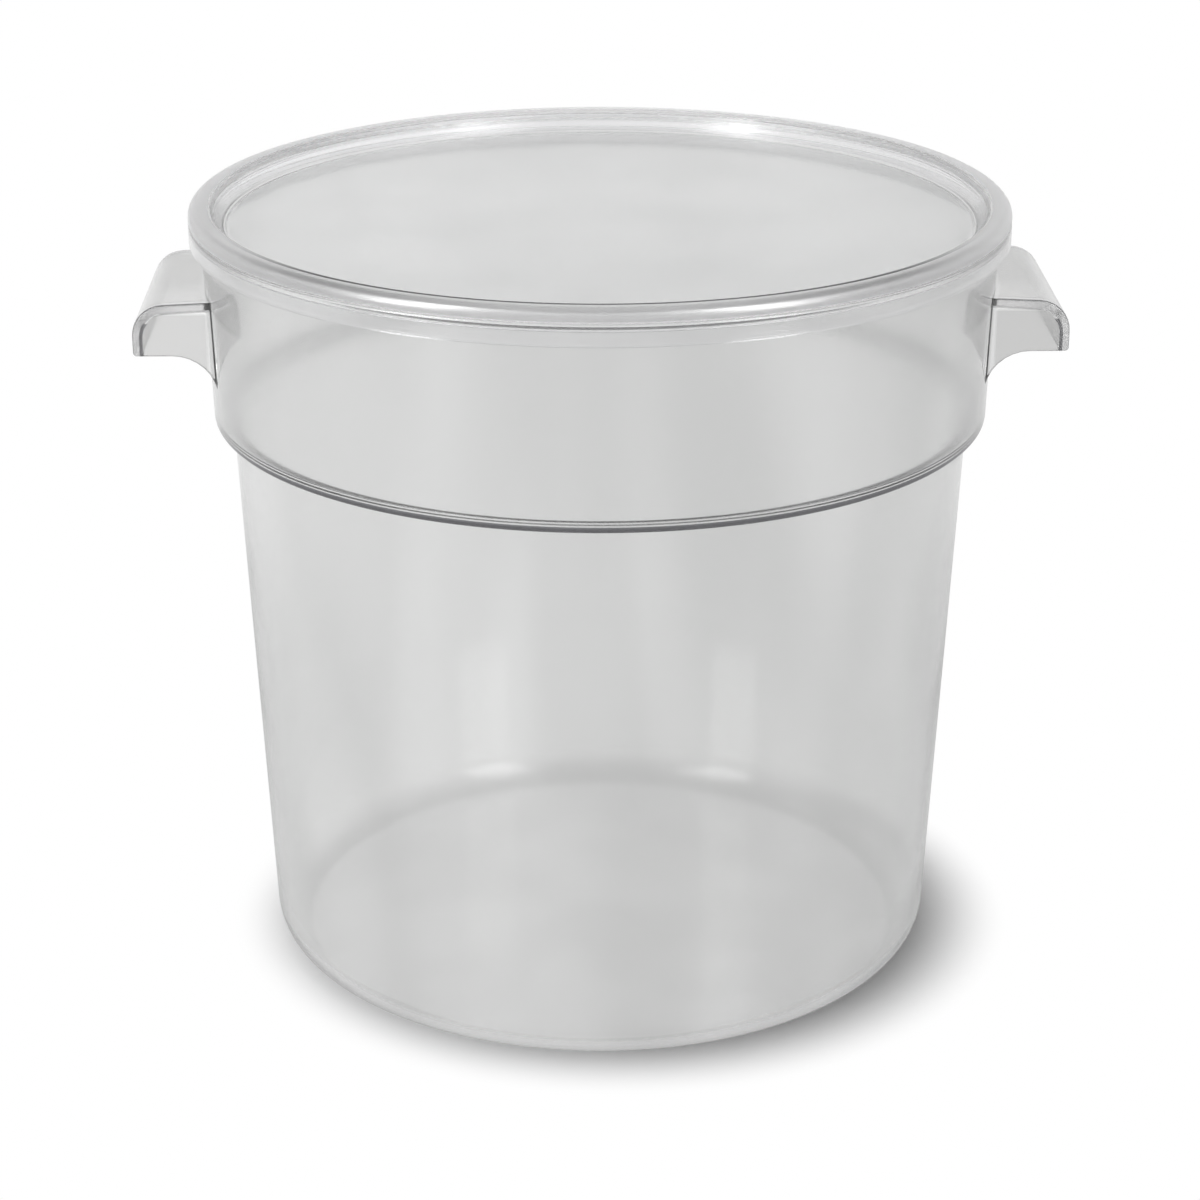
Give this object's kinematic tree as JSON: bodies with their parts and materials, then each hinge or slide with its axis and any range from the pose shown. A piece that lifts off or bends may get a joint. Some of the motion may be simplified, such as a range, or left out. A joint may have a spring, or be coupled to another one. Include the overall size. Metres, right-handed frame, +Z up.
{
  "type": "round food storage container",
  "caption": "Clear round food storage container: tapered body with a shoulder, flanged rim and hood-shaped side handles, closed by a loose lid with a recessed panel.",
  "frame": {"origin": "centre of the flat resting face, which is the bottom centre of the bounding box", "axes": "+Z up along the container's axis, +X out through the middle of one handle"},
  "size_m": [0.3778, 0.336, 0.325],
  "materials": {
    "container_plastic": "clear polycarbonate, moulded gloss, faint grey tint",
    "lid_plastic": "clear polycarbonate, moulded gloss, faint grey tint"
  },
  "bodies": {
    "container": {"container_body": "container_plastic"},
    "lid": {"lid": "lid_plastic"}
  },
  "joints": [
    {"name": "lid_lift", "type": "slide", "parent": "container", "child": "lid", "axis": [0, 0, 1], "range_m": [0, 0.15]}
  ]
}
